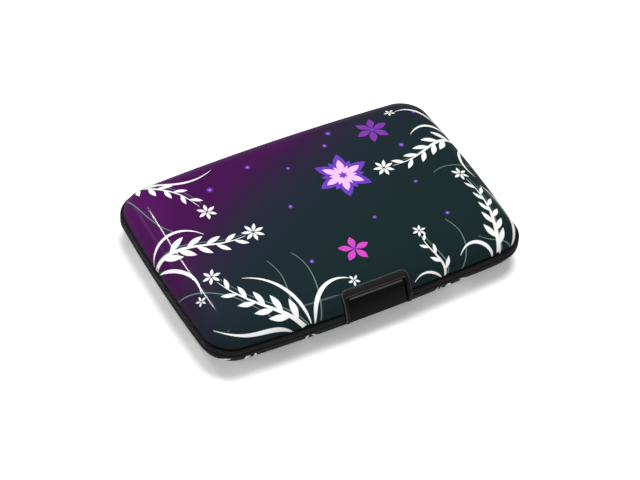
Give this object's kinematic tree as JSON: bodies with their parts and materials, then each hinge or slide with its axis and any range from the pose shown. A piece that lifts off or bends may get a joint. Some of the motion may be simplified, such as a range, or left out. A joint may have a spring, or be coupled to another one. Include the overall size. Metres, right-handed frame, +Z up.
{
  "type": "metal card holder",
  "caption": "Hinged aluminium card case: two printed shells on black moulded frames, a rear pin hinge, a rocking front latch and fanning card pockets.",
  "frame": {"origin": "middle of the case's footprint, on the surface that it lies on", "axes": "+X along the long side, +Y from the latch to the hinge, +Z up from the lower shell to the upper one"},
  "size_m": [0.11, 0.0768, 0.02],
  "materials": {
    "printed_shell_upper": "gloss clear coat over a print on aluminium",
    "printed_shell_lower": "gloss clear coat over a print on aluminium",
    "black_frame_upper": "satin moulded black",
    "black_frame_lower": "satin moulded black",
    "black_button": "satin moulded black",
    "steel_pin": "drawn wire",
    "spring_steel": "bright spring wire",
    "adhesive_foam": "matt foam tape",
    "end_leaf_film": "satin film",
    "divider_film": "satin film",
    "pleat_film": "satin film"
  },
  "bodies": {
    "lower_case": {"lower_shell": "printed_shell_lower", "lower_frame": "black_frame_lower", "hinge_pin": "steel_pin", "adhesive_pad_lower": "adhesive_foam", "end_leaf_lower": "end_leaf_film", "pleat_1": "pleat_film", "pleat_2": "pleat_film", "pleat_3": "pleat_film", "pleat_4": "pleat_film", "pleat_5": "pleat_film", "pleat_6": "pleat_film", "pleat_7": "pleat_film"},
    "lid": {"upper_shell": "printed_shell_upper", "upper_frame": "black_frame_upper", "adhesive_pad_upper": "adhesive_foam", "end_leaf_upper": "end_leaf_film", "latch_pin": "steel_pin", "latch_spring": "spring_steel"},
    "latch_button": {"latch_button": "black_button"},
    "leaf_1": {"divider_leaf_1": "divider_film"},
    "leaf_2": {"divider_leaf_2": "divider_film"},
    "leaf_3": {"divider_leaf_3": "divider_film"},
    "leaf_4": {"divider_leaf_4": "divider_film"},
    "leaf_5": {"divider_leaf_5": "divider_film"},
    "leaf_6": {"divider_leaf_6": "divider_film"}
  },
  "joints": [
    {"name": "lid_swing", "type": "hinge", "parent": "lower_case", "child": "lid", "pos_m": [0, 0.03705, 0.01], "axis": [-1, 0, 0], "range_deg": [0, 55], "deforming": ["pleat_1", "pleat_2", "pleat_3", "pleat_4", "pleat_5", "pleat_6", "pleat_7"]},
    {"name": "latch_press", "type": "hinge", "parent": "lid", "child": "latch_button", "pos_m": [0, -0.03565, 0.012], "axis": [-1, 0, 0], "range_deg": [0, 14], "stiffness_Nm_per_rad": 0.01, "springref_deg": -8.59, "deforming": ["latch_spring"]},
    {"name": "leaf_1_swing", "type": "hinge", "parent": "lower_case", "child": "leaf_1", "pos_m": [0, 0.03705, 0.01], "axis": [-1, 0, 0], "range_deg": [0, 7.87]},
    {"name": "leaf_2_swing", "type": "hinge", "parent": "lower_case", "child": "leaf_2", "pos_m": [0, 0.03705, 0.01], "axis": [-1, 0, 0], "range_deg": [0, 15.72]},
    {"name": "leaf_3_swing", "type": "hinge", "parent": "lower_case", "child": "leaf_3", "pos_m": [0, 0.03705, 0.01], "axis": [-1, 0, 0], "range_deg": [0, 23.58]},
    {"name": "leaf_4_swing", "type": "hinge", "parent": "lower_case", "child": "leaf_4", "pos_m": [0, 0.03705, 0.01], "axis": [-1, 0, 0], "range_deg": [0, 31.44]},
    {"name": "leaf_5_swing", "type": "hinge", "parent": "lower_case", "child": "leaf_5", "pos_m": [0, 0.03705, 0.01], "axis": [-1, 0, 0], "range_deg": [0, 39.3]},
    {"name": "leaf_6_swing", "type": "hinge", "parent": "lower_case", "child": "leaf_6", "pos_m": [0, 0.03705, 0.01], "axis": [-1, 0, 0], "range_deg": [0, 47.15]}
  ],
  "couplings": [
    {"joint": "leaf_1_swing", "follows": "lid_swing", "ratio": 0.14286},
    {"joint": "leaf_2_swing", "follows": "lid_swing", "ratio": 0.28571},
    {"joint": "leaf_3_swing", "follows": "lid_swing", "ratio": 0.42857},
    {"joint": "leaf_4_swing", "follows": "lid_swing", "ratio": 0.57143},
    {"joint": "leaf_5_swing", "follows": "lid_swing", "ratio": 0.71429},
    {"joint": "leaf_6_swing", "follows": "lid_swing", "ratio": 0.85714}
  ]
}
